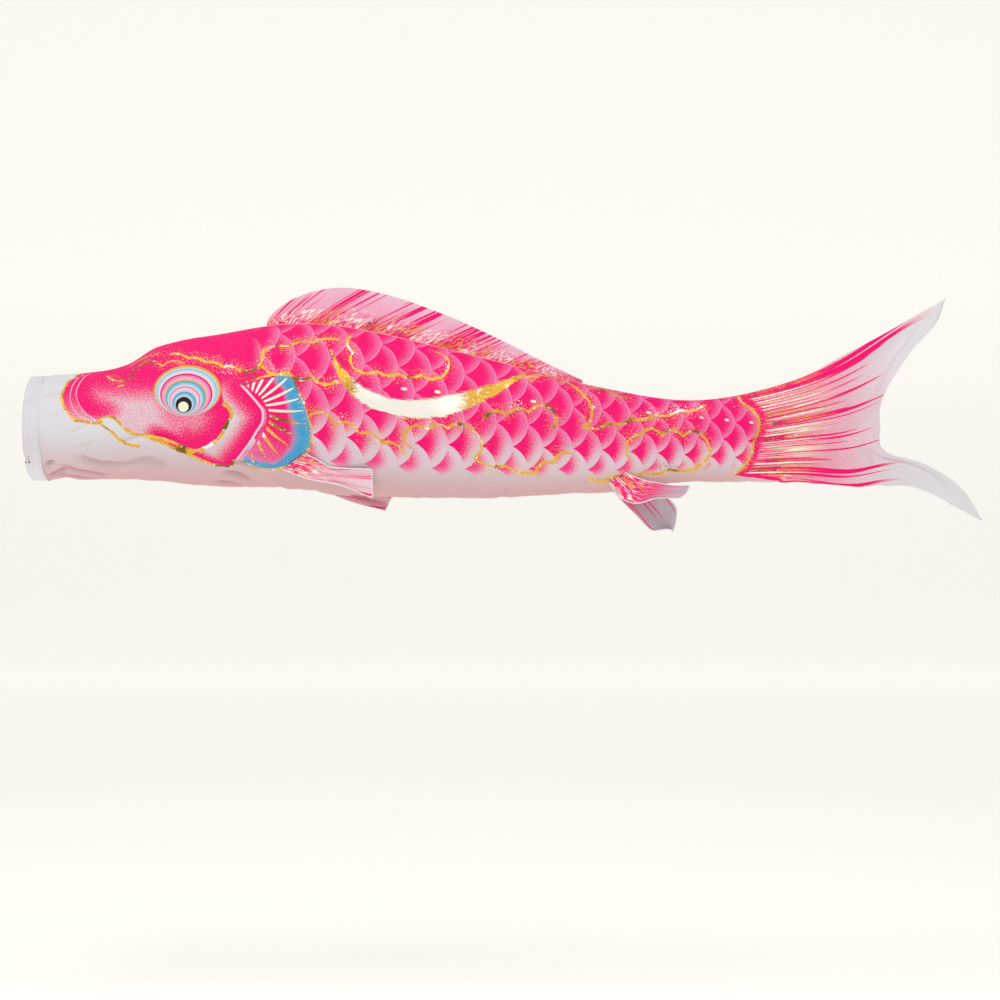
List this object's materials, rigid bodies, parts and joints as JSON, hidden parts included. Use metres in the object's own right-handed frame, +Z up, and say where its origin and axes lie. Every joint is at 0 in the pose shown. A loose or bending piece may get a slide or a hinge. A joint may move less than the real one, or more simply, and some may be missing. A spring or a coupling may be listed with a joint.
{
  "type": "carp streamer",
  "caption": "Fish-shaped cloth windsock: a round mouth hoop, a printed tube that narrows to an open forked tail, a back fin and paired side fins.",
  "frame": {"origin": "centre of the mouth hoop, in the plane of the mouth's front edge", "axes": "+X from the mouth towards the tail, +Z up towards the back fin, +Y towards the fish's right side"},
  "size_m": [1.5, 0.165, 0.3842],
  "materials": {
    "hoop_plastic": "smooth white, slightly glossy",
    "white_cloth": "thin plain-weave polyester, soft sheen",
    "printed_cloth": "thin plain-weave polyester with airbrushed magenta scales and gold foil lines",
    "fin_cloth": "thin plain-weave polyester with magenta rays and gold foil"
  },
  "bodies": {
    "mouth": {"mouth_hoop": "hoop_plastic", "mouth_hem_left": "white_cloth", "mouth_hem_right": "white_cloth"},
    "head": {"collar_left": "white_cloth", "collar_right": "white_cloth", "head_panel_left": "printed_cloth", "head_panel_right": "printed_cloth"},
    "trunk": {"neck_left": "printed_cloth", "neck_right": "printed_cloth", "trunk_panel_left": "printed_cloth", "trunk_panel_right": "printed_cloth"},
    "rear": {"waist_left": "printed_cloth", "waist_right": "printed_cloth", "rear_panel_left": "printed_cloth", "rear_panel_right": "printed_cloth"},
    "tail": {"tail_stem_left": "printed_cloth", "tail_stem_right": "printed_cloth", "tail_panel_left": "printed_cloth", "tail_panel_right": "printed_cloth"},
    "dorsal_fin": {"dorsal_fin": "fin_cloth"},
    "pectoral_fin_left": {"pectoral_fin_left": "fin_cloth"},
    "pectoral_fin_right": {"pectoral_fin_right": "fin_cloth"},
    "pelvic_fin_left": {"pelvic_fin_left": "fin_cloth"},
    "pelvic_fin_right": {"pelvic_fin_right": "fin_cloth"}
  },
  "joints": [
    {"name": "body_droop", "type": "hinge", "parent": "mouth", "child": "head", "pos_m": [0.068, 0, 0.025], "axis": [0, 1, 0], "range_deg": [-8, 30], "deforming": ["collar_left", "collar_right"]},
    {"name": "neck_sway", "type": "hinge", "parent": "head", "child": "trunk", "pos_m": [0.34, 0, 0], "axis": [0, 0, 1], "range_deg": [-25, 25], "deforming": ["neck_left", "neck_right"]},
    {"name": "waist_sway", "type": "hinge", "parent": "trunk", "child": "rear", "pos_m": [0.8765, 0, 0], "axis": [0, 0, 1], "range_deg": [-30, 30], "deforming": ["waist_left", "waist_right"]},
    {"name": "tail_sway", "type": "hinge", "parent": "rear", "child": "tail", "pos_m": [1.13, 0, 0], "axis": [0, 0, 1], "range_deg": [-40, 40], "deforming": ["tail_stem_left", "tail_stem_right"]},
    {"name": "dorsal_fin_flop", "type": "hinge", "parent": "trunk", "child": "dorsal_fin", "pos_m": [0.478, 0, 0.1666], "axis": [0.9772, 0, -0.2125], "range_deg": [-70, 70]},
    {"name": "pectoral_flap_left", "type": "hinge", "parent": "trunk", "child": "pectoral_fin_left", "pos_m": [0.4175, -0.0502, -0.0525], "axis": [-0.7836, 0.2698, -0.5597], "range_deg": [0, 65]},
    {"name": "pectoral_flap_right", "type": "hinge", "parent": "trunk", "child": "pectoral_fin_right", "pos_m": [0.4175, 0.0502, -0.0525], "axis": [0.7836, 0.2698, 0.5597], "range_deg": [0, 65]},
    {"name": "pelvic_flap_left", "type": "hinge", "parent": "rear", "child": "pelvic_fin_left", "pos_m": [0.9225, -0.0273, -0.0775], "axis": [-0.8387, 0.2081, -0.5032], "range_deg": [0, 60]},
    {"name": "pelvic_flap_right", "type": "hinge", "parent": "rear", "child": "pelvic_fin_right", "pos_m": [0.9225, 0.0273, -0.0775], "axis": [0.8387, 0.2081, 0.5032], "range_deg": [0, 60]}
  ]
}
